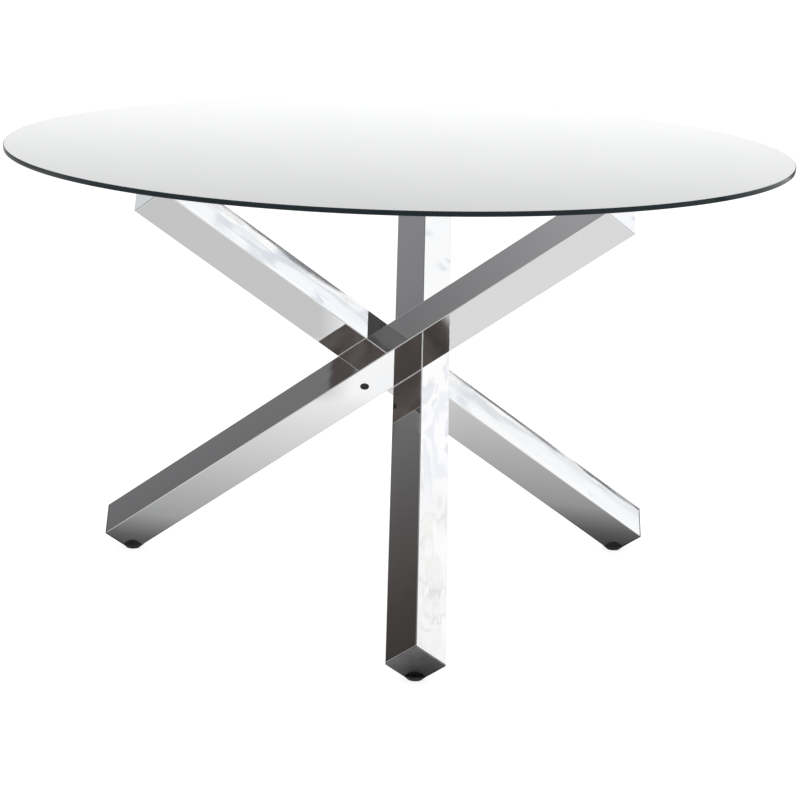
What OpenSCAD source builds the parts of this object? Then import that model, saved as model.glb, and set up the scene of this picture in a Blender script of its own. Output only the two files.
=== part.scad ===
// Round glass dining table on three crossed square tubes.
// The three tubes are at right angles to each other, like the edges of a cube
// that stands on its corner. They touch face to face in pairs and are bolted
// together where they touch. The frame has a three-fold turn about Z.
// Z is up, the floor is at Z = 0, and the origin is under the middle of the top.

/* [Table] */
// Height of the upper face of the glass above the floor
table_h = 750; // [720:1:780]
// Diameter of the glass top
top_d = 1290; // [1100:10:1500]
// Thickness of the glass
glass_t = 8; // [6:1:12]
// Width of the ground arris on both rims of the glass
arris = 1; // [0.5:0.1:1.5]

/* [Tubes] */
// Outside width of the square tubes
tube_w = 66; // [56:1:76]
// Wall thickness of the tubes
wall = 2; // [1.5:0.5:3]
// Outside corner radius of the tubes
tube_r = 1.5; // [1:0.5:4]
// Distance along a leg from the crossing down to its lower end
leg_low = 635; // [600:1:660]

/* [End caps] */
// Thickness of the flange that covers a tube end
flange_t = 3; // [2:0.5:5]
// Length of the plug inside the tube
plug_len = 31; // [30:1:45]
// Gap between the plug's core and the tube, each side, bridged by its ribs
plug_gap = 0.8; // [0.5:0.1:1.2]
// Height of the level cut across the lowest corner of a leg
low_cut = 15; // [13:0.5:16]

/* [Levelling glides] */
// Height of the glide pad
glide_h = 8; // [8:0.5:12]
// Diameter of the glide pad at its top
glide_d = 38; // [32:1:40]
// Diameter of the glide pad on the floor
glide_foot_d = 23; // [18:1:28]
// Length that the glide can be screwed out
glide_travel = 10; // [6:1:10]

/* [Glass supports] */
// Diameter of the disc under the glass
disc_d = 44; // [36:1:50]
// Thickness of that disc
disc_t = 8; // [6:1:8]
// Height of disc and neck together
support_h = 14; // [13:0.5:15]
// Thickness of the clear pad between disc and glass
pad_t = 3; // [2:0.5:4]

/* [Joint bolts] */
// Thread diameter of the bolts, studs and spigots
thread_d = 8; // [8:1:8]
// Diameter of the access hole for a bolt's head
access_d = 13.6; // [13.4:0.1:15]

/* [Hidden] */

$fn = 96;
eps = 0.01;

// Every leg is named after where its foot stands. Turn of each leg about Z:
FRONT = 0;
RIGHT = 120;
LEFT = 240;

// Lean of the legs from the vertical: a cube's edge against its diagonal
lean = atan(sqrt(2));
// The tubes' centre lines miss the Z axis by half their diagonal
off = tube_w / sqrt(2);
// Height of the crossing
cross_z = glide_h - low_cut + leg_low * cos(lean) + off * sin(lean);
// Level of the cut land over a glide, and under a glass support
low_land = glide_h;
top_land = table_h - glass_t - pad_t - support_h;
// The uppermost corner of a leg is this far above its level cut
top_cut = 13.8;
leg_high = (top_land + top_cut - cross_z - off * sin(lean)) / cos(lean);
// Plan distance of the lowest and the uppermost corner, along the leg's run
foot_y = -leg_low * sin(lean) + off * cos(lean);
head_y = leg_high * sin(lean) - off * cos(lean);
half = tube_w / 2;
inner = tube_w - 2 * wall;

// Foot: the hexagon collar of the stud hides in a counterbore of the cap
collar_af = 13;
collar_t = 3.7;
sink_d = 17.4;
sink_t = 4.3;
insert_d = 11;
insert_len = 14;
stud_top = 32;
head_gap = 0.3;

// Bolted joint
bolt_head_d = 13;
bolt_head_h = 8;
bolt_len = 20;
washer_d = 17;
washer_t = 1.6;
nut_d = 11;
nut_len = 17;
nut_bulge_d = 15;

// ---- frames ----

// Leg frame: Z runs up the tube, X and Y are square to its walls.
// The upper edge of the tube is at (-,-) and the lower edge at (+,+).
module in_leg(turn) {
    rotate([0, 0, turn]) translate([off, 0, cross_z])
        rotate([-lean, 0, 0]) rotate([0, 0, 45]) children();
}
// Upright frame through the lowest corner of a leg, with Z = 0 on the floor
module at_foot(turn) {
    rotate([0, 0, turn]) translate([off, foot_y, 0]) children();
}
// Upright frame through the uppermost corner of a leg
module at_head(turn) {
    rotate([0, 0, turn]) translate([off, head_y, 0]) children();
}

// ---- shared shapes ----

module rounded_square(w, r) {
    union() {
        square([w, w - 2 * r], center = true);
        square([w - 2 * r, w], center = true);
        for (sx = [-1, 1], sy = [-1, 1])
            translate([sx * (w / 2 - r), sy * (w / 2 - r)]) circle(r = r, $fn = 32);
    }
}
// Square bar from z0 to z1
module bar(w, r, z0, z1) {
    translate([0, 0, z0]) linear_extrude(height = z1 - z0) rounded_square(w, r);
}
// Everything below the level cut at a foot, and above the one at a head
module below_foot(turn) {
    at_foot(turn) translate([-150, -150, low_land - 120]) cube([300, 300, 120]);
}
module above_head(turn) {
    at_head(turn) translate([-150, -150, top_land]) cube([300, 300, 120]);
}

// ---- tubes ----

module leg(turn) {
    color("gainsboro") difference() {
        in_leg(turn) difference() {
            bar(tube_w, tube_r, -leg_low + flange_t, leg_high - flange_t);
            bar(inner, max(tube_r - wall, 0.5), -leg_low, leg_high);
            // bolt hole in the wall that touches the next leg
            translate([-half - 1, 0, -half]) rotate([0, 90, 0])
                cylinder(d = thread_d + 1, h = wall + 2);
            // access hole for its head, in the opposite wall
            translate([half - wall - 1, 0, -half]) rotate([0, 90, 0])
                cylinder(d = access_d, h = wall + 2);
            // hole for the rivet nut that takes the third leg's bolt
            translate([0, half + 1, half]) rotate([90, 0, 0])
                cylinder(d = nut_d, h = wall + 2);
        }
        below_foot(turn);
        above_head(turn);
    }
}

// ---- end caps ----

// Core of a plug with three sealing ribs round it; z0 is at the flange
module ribbed_plug(len, dir) {
    core = inner - 2 * plug_gap;
    bar(core, 1, min(0, dir * len), max(0, dir * len));
    for (i = [0:2]) {
        z = dir * (4 + i * (len - 9) / 2);
        bar(inner - 0.1, 0.8, min(z, z + dir * 1.6), max(z, z + dir * 1.6));
    }
}

module foot_cap(turn) {
    pocket = inner / 2 - 4;
    color([0.20, 0.20, 0.21]) difference() {
        in_leg(turn) translate([0, 0, -leg_low]) difference() {
            union() {
                bar(tube_w, tube_r, 0, flange_t);
                translate([0, 0, flange_t]) ribbed_plug(plug_len, 1);
            }
            // open inside, with a solid corner that holds the insert
            translate([-pocket, -pocket, flange_t + 3]) cube([pocket + 1, 2 * pocket, plug_len]);
            translate([-pocket, -pocket, flange_t + 3]) cube([2 * pocket, pocket + 1, plug_len]);
        }
        below_foot(turn);
        at_foot(turn) {
            translate([0, 0, low_land - 1]) cylinder(d = sink_d, h = sink_t + 1);
            translate([0, 0, low_land]) cylinder(d = insert_d + 0.1, h = sink_t + insert_len + 0.2);
            translate([0, 0, low_land]) cylinder(d = thread_d + 1, h = 30);
        }
    }
}

module top_cap(turn) {
    pocket = inner / 2 - 4;
    color("gainsboro") difference() {
        in_leg(turn) translate([0, 0, leg_high]) difference() {
            union() {
                bar(tube_w, tube_r, -flange_t, 0);
                translate([0, 0, -flange_t]) ribbed_plug(plug_len, -1);
            }
            translate([-1, -pocket, -flange_t - 3 - plug_len]) cube([pocket + 1, 2 * pocket, plug_len]);
            translate([-pocket, -1, -flange_t - 3 - plug_len]) cube([2 * pocket, pocket + 1, plug_len]);
        }
        above_head(turn);
        at_head(turn) translate([0, 0, top_land - 20]) cylinder(d = thread_d + 0.1, h = 30);
    }
}

// ---- levelling glides ----

module foot_insert(turn) {
    color("goldenrod") at_foot(turn) translate([0, 0, low_land + sink_t]) difference() {
        cylinder(d = insert_d, h = insert_len);
        translate([0, 0, -1]) cylinder(d = thread_d + 0.2, h = insert_len + 2);
        // grooves that key it into the plastic
        for (z = [4, 9])
            translate([0, 0, z]) difference() {
                cylinder(d = insert_d + 2, h = 1);
                translate([0, 0, -1]) cylinder(d = insert_d - 1, h = 3);
            }
    }
}

module glide_stud(turn) {
    color("silver") at_foot(turn) {
        // disc that turns inside the pad
        translate([0, 0, 3 + head_gap]) cylinder(d = 10.4, h = 2.9);
        translate([0, 0, 6]) cylinder(d = 7.6, h = 3);
        // hexagon collar for a spanner
        translate([0, 0, low_land + head_gap]) cylinder(d = collar_af / cos(30), h = collar_t, $fn = 6);
        // threaded part
        translate([0, 0, low_land + 1]) cylinder(d = thread_d, h = stud_top - low_land - 2);
        translate([0, 0, stud_top - 1 - eps]) cylinder(d1 = thread_d, d2 = thread_d - 2, h = 1 + eps);
    }
}

module glide_pad(turn) {
    color([0.05, 0.05, 0.05]) at_foot(turn) rotate_extrude() polygon([
        [0, 0], [glide_foot_d / 2 - 0.6, 0], [glide_foot_d / 2, 0.6],
        [glide_d / 2, glide_h - 1.2], [glide_d / 2, glide_h - 0.4], [glide_d / 2 - 0.4, glide_h],
        [4.4, glide_h], [4.4, glide_h - 1.5], [5.6, glide_h - 1.5], [5.6, 3], [0, 3]]);
}

// ---- glass and its supports ----

module glass_support(turn) {
    color("gainsboro") at_head(turn) {
        translate([0, 0, top_land]) rotate_extrude() polygon([
            [0, 0], [9.6, 0], [9.6, support_h - disc_t - 2], [11.6, support_h - disc_t],
            [disc_d / 2 - 1, support_h - disc_t], [disc_d / 2, support_h - disc_t + 1],
            [disc_d / 2, support_h - 1], [disc_d / 2 - 1, support_h], [0, support_h]]);
        // spigot
        translate([0, 0, top_land - 18]) cylinder(d = thread_d, h = 18 + 1);
    }
}

module glass_pad(turn) {
    color([0.9, 0.93, 0.95, 0.6]) at_head(turn) translate([0, 0, top_land + support_h])
        cylinder(d = disc_d - 6, h = pad_t);
}

module glass_top() {
    z = table_h - glass_t;
    r = top_d / 2;
    color([0.86, 0.88, 0.9]) translate([0, 0, z]) rotate_extrude($fn = 360) polygon([
        [0, 0], [r - arris, 0], [r, arris], [r, glass_t - arris], [r - arris, glass_t], [0, glass_t]]);
}

// ---- bolted joints ----

// Axis of a leg's own bolt: X points from the wall it clamps into the next leg
module on_bolt(turn) {
    in_leg(turn) translate([-half, 0, -half]) rotate([0, -90, 0]) children();
}

module joint_washer(turn) {
    color("silver") on_bolt(turn) translate([0, 0, -wall - washer_t]) difference() {
        cylinder(d = washer_d, h = washer_t);
        translate([0, 0, -1]) cylinder(d = thread_d + 0.4, h = washer_t + 2);
    }
}

module joint_bolt(turn) {
    color("silver") on_bolt(turn) translate([0, 0, -wall - washer_t]) difference() {
        union() {
            translate([0, 0, -bolt_head_h]) cylinder(d = bolt_head_d, h = bolt_head_h);
            translate([0, 0, -1]) cylinder(d = thread_d, h = bolt_len);
            translate([0, 0, bolt_len - 1 - eps]) cylinder(d1 = thread_d, d2 = thread_d - 2, h = 1 + eps);
        }
        // hexagon socket
        translate([0, 0, -bolt_head_h - 1]) cylinder(d = 6 / cos(30), h = 5, $fn = 6);
    }
}

module rivet_nut(turn) {
    color("silver") in_leg(turn) translate([0, half, half]) rotate([90, 0, 0]) difference() {
        union() {
            cylinder(d = nut_d - 0.1, h = nut_len);
            translate([0, 0, wall]) cylinder(d = nut_bulge_d, h = 4);
        }
        translate([0, 0, -1]) cylinder(d = thread_d + 0.2, h = nut_len + 2);
    }
}

module hole_plug(turn) {
    color([0.05, 0.05, 0.05]) in_leg(turn) translate([half, 0, -half]) rotate([0, 90, 0]) {
        difference() {
            union() {
                cylinder(d = access_d + 1.2, h = 0.8);
                translate([0, 0, -5]) cylinder(d = access_d - 0.2, h = 5.5);
            }
            translate([0, 0, -6]) cylinder(d = access_d - 3, h = 5.4);
        }
    }
}

glass_top();

leg(FRONT);  // leg_front
leg(RIGHT);  // leg_right
leg(LEFT);  // leg_left

top_cap(FRONT);  // top_cap_front
top_cap(RIGHT);  // top_cap_right
top_cap(LEFT);  // top_cap_left

foot_cap(FRONT);  // foot_cap_front
foot_cap(RIGHT);  // foot_cap_right
foot_cap(LEFT);  // foot_cap_left

foot_insert(FRONT);  // foot_insert_front
foot_insert(RIGHT);  // foot_insert_right
foot_insert(LEFT);  // foot_insert_left

glide_stud(FRONT);  // glide_stud_front
glide_stud(RIGHT);  // glide_stud_right
glide_stud(LEFT);  // glide_stud_left

glide_pad(FRONT);  // glide_pad_front
glide_pad(RIGHT);  // glide_pad_right
glide_pad(LEFT);  // glide_pad_left

glass_support(FRONT);  // glass_support_front
glass_support(RIGHT);  // glass_support_right
glass_support(LEFT);  // glass_support_left

glass_pad(FRONT);  // glass_pad_front
glass_pad(RIGHT);  // glass_pad_right
glass_pad(LEFT);  // glass_pad_left

joint_bolt(FRONT);  // joint_bolt_front
joint_bolt(RIGHT);  // joint_bolt_right
joint_bolt(LEFT);  // joint_bolt_left

joint_washer(FRONT);  // joint_washer_front
joint_washer(RIGHT);  // joint_washer_right
joint_washer(LEFT);  // joint_washer_left

rivet_nut(FRONT);  // rivet_nut_front
rivet_nut(RIGHT);  // rivet_nut_right
rivet_nut(LEFT);  // rivet_nut_left

hole_plug(FRONT);  // hole_plug_front
hole_plug(RIGHT);  // hole_plug_right
hole_plug(LEFT);  // hole_plug_left
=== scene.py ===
# Round glass dining table on three crossed chrome tubes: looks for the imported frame.
import math

import bmesh
import bpy
from mathutils import Matrix, Vector

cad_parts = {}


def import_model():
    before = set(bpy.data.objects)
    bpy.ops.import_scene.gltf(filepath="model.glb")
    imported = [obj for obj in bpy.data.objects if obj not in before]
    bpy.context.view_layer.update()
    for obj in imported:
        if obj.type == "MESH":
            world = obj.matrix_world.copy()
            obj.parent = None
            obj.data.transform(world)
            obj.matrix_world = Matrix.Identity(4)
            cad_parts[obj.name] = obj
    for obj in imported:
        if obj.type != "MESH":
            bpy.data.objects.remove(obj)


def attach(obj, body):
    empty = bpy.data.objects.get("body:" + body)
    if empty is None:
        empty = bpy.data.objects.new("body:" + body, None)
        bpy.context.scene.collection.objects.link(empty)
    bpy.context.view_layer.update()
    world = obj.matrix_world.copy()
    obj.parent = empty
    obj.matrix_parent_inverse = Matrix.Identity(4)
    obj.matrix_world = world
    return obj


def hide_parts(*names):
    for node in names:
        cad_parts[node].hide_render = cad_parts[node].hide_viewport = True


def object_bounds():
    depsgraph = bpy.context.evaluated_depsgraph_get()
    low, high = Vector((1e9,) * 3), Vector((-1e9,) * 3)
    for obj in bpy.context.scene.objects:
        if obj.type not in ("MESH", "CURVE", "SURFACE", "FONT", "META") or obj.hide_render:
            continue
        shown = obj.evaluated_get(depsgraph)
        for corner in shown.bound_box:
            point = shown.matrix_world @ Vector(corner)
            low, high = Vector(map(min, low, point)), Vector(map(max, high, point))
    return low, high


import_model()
CAD_LO, CAD_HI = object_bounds()

# ------------------------------------------------------------------ sizes, in metres
MM = 0.001
TABLE_H = CAD_HI.z
TOP_R = 0.645
GLASS_T = 0.008
ARRIS = 0.001
TUBE_W = 0.066
WALL = 0.002
TUBE_R = 0.0015
LEG_LOW = 0.635
FLANGE = 0.003
PLUG_LEN = 0.031
PLUG_GAP = 0.0008
LOW_CUT = 0.015
TOP_CUT = 0.0138
GLIDE_H = 0.008
PAD_T = 0.003
SUPPORT_H = 0.014
DISC_T = 0.008
DISC_R = 0.022
ACCESS_R = 0.0068

LEAN = math.atan(math.sqrt(2))
OFF = TUBE_W / math.sqrt(2)
HALF = TUBE_W / 2
INNER = TUBE_W - 2 * WALL
CROSS_Z = GLIDE_H - LOW_CUT + LEG_LOW * math.cos(LEAN) + OFF * math.sin(LEAN)
LOW_LAND = GLIDE_H
TOP_LAND = 0.750 - GLASS_T - PAD_T - SUPPORT_H
LEG_HIGH = (TOP_LAND + TOP_CUT - CROSS_Z - OFF * math.sin(LEAN)) / math.cos(LEAN)
FOOT_Y = -LEG_LOW * math.sin(LEAN) + OFF * math.cos(LEAN)
HEAD_Y = LEG_HIGH * math.sin(LEAN) - OFF * math.cos(LEAN)
TURN = {"front": 0.0, "right": math.radians(120), "left": math.radians(240)}


def rz(a):
    return Matrix.Rotation(a, 4, "Z")


def leg_frame(name):
    return rz(TURN[name]) @ Matrix.Translation((OFF, 0, CROSS_Z)) @ Matrix.Rotation(-LEAN, 4, "X") @ rz(math.radians(45))


def foot_frame(name):
    return rz(TURN[name]) @ Matrix.Translation((OFF, FOOT_Y, 0))


def head_frame(name):
    return rz(TURN[name]) @ Matrix.Translation((OFF, HEAD_Y, 0))


def bolt_frame(name):
    return leg_frame(name) @ Matrix.Translation((-HALF, 0, -HALF)) @ Matrix.Rotation(math.radians(-90), 4, "Y")


def nut_frame(name):
    return leg_frame(name) @ Matrix.Translation((0, HALF, HALF)) @ Matrix.Rotation(math.radians(90), 4, "X")


def hole_frame(name):
    return leg_frame(name) @ Matrix.Translation((HALF, 0, -HALF)) @ Matrix.Rotation(math.radians(90), 4, "Y")


# ------------------------------------------------------------------ node helpers
class Nodes:
    """A material's node tree with short calls to add to it."""

    def __init__(self, name):
        self.mat = bpy.data.materials.new(name)
        self.mat.use_nodes = True
        self.nt = self.mat.node_tree
        self.nt.nodes.clear()
        self.out = self.nt.nodes.new("ShaderNodeOutputMaterial")

    def add(self, kind, values=None, **props):
        n = self.nt.nodes.new(kind)
        for k, v in props.items():
            setattr(n, k, v)
        for k, v in (values or {}).items():
            n.inputs[k].default_value = v
        return n

    def link(self, a, b):
        self.nt.links.new(a, b)

    def coords(self, scale=(1, 1, 1), rotation=(0, 0, 0)):
        tc = self.add("ShaderNodeTexCoord")
        m = self.add("ShaderNodeMapping", {"Scale": scale, "Rotation": rotation})
        self.link(tc.outputs["Object"], m.inputs["Vector"])
        return m.outputs["Vector"]

    def noise(self, vector, scale, detail=3.0, rough=0.5, distortion=0.0):
        n = self.add("ShaderNodeTexNoise", {"Scale": scale, "Detail": detail, "Roughness": rough, "Distortion": distortion})
        self.link(vector, n.inputs["Vector"])
        return n.outputs["Fac"]

    def ramp(self, fac, stops):
        r = self.add("ShaderNodeValToRGB")
        e = r.color_ramp.elements
        while len(e) > 1:
            e.remove(e[-1])
        e[0].position, e[0].color = stops[0][0], (*stops[0][1], 1)
        for pos, col in stops[1:]:
            x = e.new(pos)
            x.color = (*col, 1)
        self.link(fac, r.inputs["Fac"])
        return r.outputs["Color"]

    def map(self, fac, lo, hi, to_lo, to_hi, kind="LINEAR"):
        m = self.add("ShaderNodeMapRange", {"From Min": lo, "From Max": hi, "To Min": to_lo, "To Max": to_hi})
        m.interpolation_type = kind
        m.clamp = True
        self.link(fac, m.inputs["Value"])
        return m.outputs["Result"]

    def math(self, op, a, b=None, c=None):
        m = self.add("ShaderNodeMath", operation=op)
        for i, v in enumerate((a, b, c)):
            if v is None:
                continue
            if isinstance(v, (int, float)):
                m.inputs[i].default_value = v
            else:
                self.link(v, m.inputs[i])
        return m.outputs[0]

    def mix(self, fac, a, b):
        m = self.add("ShaderNodeMix", data_type="RGBA")
        if isinstance(fac, (int, float)):
            m.inputs[0].default_value = fac
        else:
            self.link(fac, m.inputs[0])
        for i, v in ((6, a), (7, b)):
            if isinstance(v, tuple):
                m.inputs[i].default_value = (*v, 1)
            else:
                self.link(v, m.inputs[i])
        return m.outputs[2]

    def bump(self, height, strength, distance, normal=None):
        b = self.add("ShaderNodeBump", {"Strength": strength, "Distance": distance})
        self.link(height, b.inputs["Height"])
        if normal is not None:
            self.link(normal, b.inputs["Normal"])
        return b.outputs["Normal"]

    def shader(self, **values):
        p = self.add("ShaderNodeBsdfPrincipled")
        for k, v in values.items():
            key = k.replace("_", " ")
            if isinstance(v, (int, float)):
                p.inputs[key].default_value = v
            elif isinstance(v, tuple):
                p.inputs[key].default_value = (*v, 1) if len(v) == 3 else v
            else:
                self.link(v, p.inputs[key])
        self.link(p.outputs["BSDF"], self.out.inputs["Surface"])
        return p


# ------------------------------------------------------------------ materials of the object
def chrome_material(name, wave=1.0):
    n = Nodes(name)
    # the tube's own slight waves, long along the tube and shorter across it
    long = n.coords(scale=(1.0, 1.0, 0.22))
    waves = n.noise(long, 26.0, detail=1.5, rough=0.45, distortion=0.6)
    broad = n.noise(n.coords(scale=(1, 1, 0.5)), 7.0, detail=1.0)
    height = n.math("ADD", n.math("MULTIPLY", waves, 0.45), broad)
    bump1 = n.bump(height, 0.16 * wave, 0.0011)
    # polishing lines, far too fine to see singly
    lines = n.noise(n.coords(scale=(1, 1, 0.02)), 2600.0, detail=2.0)
    bump2 = n.bump(lines, 0.018, 0.00003, bump1)
    # thin patches of handling haze that only change the gloss
    haze = n.noise(n.coords(), 9.0, detail=5.0, rough=0.62)
    fine = n.noise(n.coords(), 240.0, detail=3.0)
    rough = n.math("ADD", n.map(haze, 0.45, 0.75, 0.012, 0.05), n.map(fine, 0.4, 0.8, 0.0, 0.012))
    tint = n.ramp(n.noise(n.coords(scale=(1, 1, 0.4)), 5.0, detail=2.0), [
        (0.30, (0.86, 0.87, 0.885)), (0.55, (0.90, 0.90, 0.905)), (0.80, (0.885, 0.88, 0.875))])
    n.shader(Base_Color=tint, Metallic=1.0, Roughness=rough, Normal=bump2)
    return n.mat


def glass_face_material():
    n = Nodes("top_glass_face")
    cloud = n.noise(n.coords(), 2.2, detail=3.0, rough=0.5)
    base = n.ramp(cloud, [(0.3, (0.705, 0.712, 0.716)), (0.7, (0.725, 0.731, 0.734))])
    wipe = n.noise(n.coords(scale=(1.0, 3.0, 1.0), rotation=(0, 0, 0.5)), 5.0, detail=6.0, rough=0.65)
    fine = n.noise(n.coords(), 420.0, detail=2.0)
    rough = n.math("ADD", n.map(wipe, 0.5, 0.8, 0.022, 0.055), n.map(fine, 0.5, 0.8, 0.0, 0.01))
    roller = n.noise(n.coords(scale=(1.0, 0.15, 1.0)), 9.0, detail=1.0)
    n.shader(Base_Color=base, Roughness=rough, IOR=1.52, Specular_IOR_Level=0.5,
             Normal=n.bump(roller, 0.12, 0.0004))
    return n.mat


def glass_back_material():
    n = Nodes("top_glass_backing")
    cloud = n.noise(n.coords(), 3.0, detail=5.0, rough=0.6)
    base = n.ramp(cloud, [(0.3, (0.675, 0.690, 0.697)), (0.7, (0.700, 0.713, 0.718))])
    fine = n.noise(n.coords(), 900.0, detail=3.0)
    n.shader(Base_Color=base, Roughness=n.map(cloud, 0.3, 0.7, 0.27, 0.32), IOR=1.5,
             Normal=n.bump(fine, 0.10, 0.00004))
    return n.mat


def glass_edge_material():
    n = Nodes("top_glass_edge")
    tc = n.add("ShaderNodeTexCoord")
    sep = n.add("ShaderNodeSeparateXYZ")
    n.link(tc.outputs["Object"], sep.inputs["Vector"])
    # deepest green-blue at mid thickness, with painted highlights that make it a little lighter towards the two arrises
    depth = n.map(sep.outputs["Z"], 0.0, GLASS_T, 0.0, 1.0)
    body = n.ramp(depth, [(0.0, (0.014, 0.026, 0.028)), (0.16, (0.004, 0.011, 0.013)),
                          (0.55, (0.002, 0.006, 0.008)), (0.86, (0.005, 0.014, 0.016)), (1.0, (0.030, 0.046, 0.048))])
    vary = n.noise(n.coords(scale=(1, 1, 0.2)), 11.0, detail=3.0)
    col = n.mix(n.map(vary, 0.35, 0.75, 0.0, 0.55), body, (0.006, 0.014, 0.020))
    grind = n.noise(n.coords(scale=(1, 1, 6)), 500.0, detail=2.0)
    n.shader(Base_Color=col, Roughness=n.map(vary, 0.3, 0.7, 0.06, 0.14), IOR=1.52, Specular_IOR_Level=0.22,
             Normal=n.bump(grind, 0.05, 0.00003))
    return n.mat


def plastic_material(name, low, high, rough_lo, rough_hi, grain=1400.0, depth=0.00005, spec=0.5):
    n = Nodes(name)
    cloud = n.noise(n.coords(), 60.0, detail=4.0, rough=0.6)
    col = n.ramp(cloud, [(0.3, low), (0.72, high)])
    # spark-eroded mould texture with a few rubbed spots
    tex = n.noise(n.coords(), grain, detail=3.0, rough=0.7)
    rub = n.noise(n.coords(), 24.0, detail=5.0, rough=0.7)
    rough = n.map(rub, 0.40, 0.72, rough_hi, rough_lo)
    n.shader(Base_Color=col, Roughness=rough, IOR=1.49, Specular_IOR_Level=spec, Normal=n.bump(tex, 0.55, depth))
    return n.mat


def zinc_material():
    n = Nodes("zinc_plate")
    crystal = n.add("ShaderNodeTexVoronoi", {"Scale": 900.0, "Randomness": 1.0})
    n.link(n.coords(), crystal.inputs["Vector"])
    cloud = n.noise(n.coords(), 120.0, detail=4.0)
    col = n.mix(n.map(cloud, 0.3, 0.7, 0.0, 1.0), (0.58, 0.60, 0.63), (0.70, 0.70, 0.68))
    rough = n.math("ADD", n.map(cloud, 0.3, 0.7, 0.22, 0.34), n.map(crystal.outputs["Distance"], 0.0, 0.8, 0.0, 0.06))
    n.shader(Base_Color=col, Metallic=1.0, Roughness=rough, Normal=n.bump(cloud, 0.12, 0.00006))
    return n.mat


def brass_material():
    n = Nodes("turned_brass")
    ring = n.noise(n.coords(scale=(0.05, 0.05, 1)), 3500.0, detail=2.0)
    cloud = n.noise(n.coords(), 90.0, detail=4.0)
    col = n.mix(n.map(cloud, 0.3, 0.7, 0.0, 1.0), (0.70, 0.50, 0.21), (0.80, 0.62, 0.32))
    n.shader(Base_Color=col, Metallic=1.0, Roughness=n.map(ring, 0.3, 0.7, 0.18, 0.32), Normal=n.bump(ring, 0.2, 0.00003))
    return n.mat


def silicone_material():
    n = Nodes("clear_silicone")
    cloud = n.noise(n.coords(), 70.0, detail=4.0)
    col = n.mix(n.map(cloud, 0.3, 0.7, 0.0, 1.0), (0.86, 0.91, 0.93), (0.93, 0.95, 0.96))
    n.shader(Base_Color=col, Roughness=n.map(cloud, 0.3, 0.7, 0.16, 0.34), IOR=1.41, Transmission_Weight=0.55,
             Normal=n.bump(cloud, 0.12, 0.0001))
    return n.mat


def dark_cap_material():
    """Moulded cap with a dark metallised finish that mirrors dimly."""
    n = Nodes("dark_cap_finish")
    cloud = n.noise(n.coords(), 55.0, detail=5.0, rough=0.65)
    col = n.ramp(cloud, [(0.30, (0.215, 0.212, 0.222)), (0.50, (0.270, 0.268, 0.280)), (0.72, (0.330, 0.328, 0.340))])
    tex = n.noise(n.coords(), 1300.0, detail=3.0, rough=0.7)
    rub = n.noise(n.coords(), 26.0, detail=5.0, rough=0.7)
    n.shader(Base_Color=col, Metallic=1.0, Roughness=n.map(rub, 0.38, 0.72, 0.30, 0.19), Normal=n.bump(tex, 0.35, 0.00004))
    return n.mat


CHROME = chrome_material("chrome_tube")
CHROME_CAP = chrome_material("chrome_cap", wave=0.45)
GLASS_FACE = glass_face_material()
GLASS_BACK = glass_back_material()
GLASS_EDGE = glass_edge_material()
DARK_CAP = dark_cap_material()
BLACK_PLUG = plastic_material("black_plug_plastic", (0.005, 0.005, 0.006), (0.010, 0.010, 0.011), 0.34, 0.50, spec=0.28)
NYLON = plastic_material("black_glide_nylon", (0.014, 0.014, 0.016), (0.030, 0.030, 0.032), 0.34, 0.52, grain=1100.0)
ZINC = zinc_material()
BRASS = brass_material()
SILICONE = silicone_material()


# ------------------------------------------------------------------ mesh helpers
def make_object(name, verts, faces, materials, face_mat=None):
    me = bpy.data.meshes.new(name)
    me.from_pydata([tuple(v) for v in verts], [], faces)
    for m in materials:
        me.materials.append(m)
    if face_mat is not None:
        for p, i in zip(me.polygons, face_mat):
            p.material_index = i
    me.update()
    o = bpy.data.objects.new(name, me)
    bpy.context.scene.collection.objects.link(o)
    bm = bmesh.new()
    bm.from_mesh(me)
    bmesh.ops.remove_doubles(bm, verts=bm.verts, dist=1e-7)
    bmesh.ops.recalc_face_normals(bm, faces=bm.faces)
    bm.to_mesh(me)
    bm.free()
    return o


def revolve(name, rows, seg, materials, closed=False, face_mat=None):
    """A turned solid. Each row is (radius, z), either of which may be a function of the angle; a radius of 0 is a pole.
    closed joins the last row to the first, for a ring with a hole."""
    verts, faces, mats, index = [], [], [], []
    for r, z in rows:
        if not callable(r) and not callable(z) and abs(r) < 1e-9:
            index.append([len(verts)])
            verts.append((0, 0, z))
            continue
        ring = []
        for k in range(seg):
            a = 2 * math.pi * k / seg
            rr = r(a) if callable(r) else r
            zz = z(a) if callable(z) else z
            ring.append(len(verts))
            verts.append((rr * math.cos(a), rr * math.sin(a), zz))
        index.append(ring)
    pairs = list(zip(range(len(rows) - 1), range(1, len(rows))))
    if closed:
        pairs.append((len(rows) - 1, 0))
    for i, j in pairs:
        a, b = index[i], index[j]
        m = face_mat[i] if face_mat else 0
        for k in range(seg):
            k2 = (k + 1) % seg
            if len(a) == 1 and len(b) == 1:
                continue
            if len(a) == 1:
                faces.append((a[0], b[k2], b[k]))
            elif len(b) == 1:
                faces.append((a[k], a[k2], b[0]))
            else:
                faces.append((a[k], a[k2], b[k2], b[k]))
            mats.append(m)
    return make_object(name, verts, faces, materials, mats)


def arc(cx, cz, r, a0, a1, steps):
    """Points of a fillet in a turned profile, angles in degrees from +radius towards +Z."""
    return [(cx + r * math.cos(math.radians(a0 + (a1 - a0) * i / steps)),
             cz + r * math.sin(math.radians(a0 + (a1 - a0) * i / steps))) for i in range(steps + 1)]


def hexagon(apothem):
    """Radius of a hexagon's outline at an angle."""
    def r(a):
        t = (a + math.pi / 6) % (math.pi / 3) - math.pi / 6
        return apothem / math.cos(t)
    return r


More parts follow.
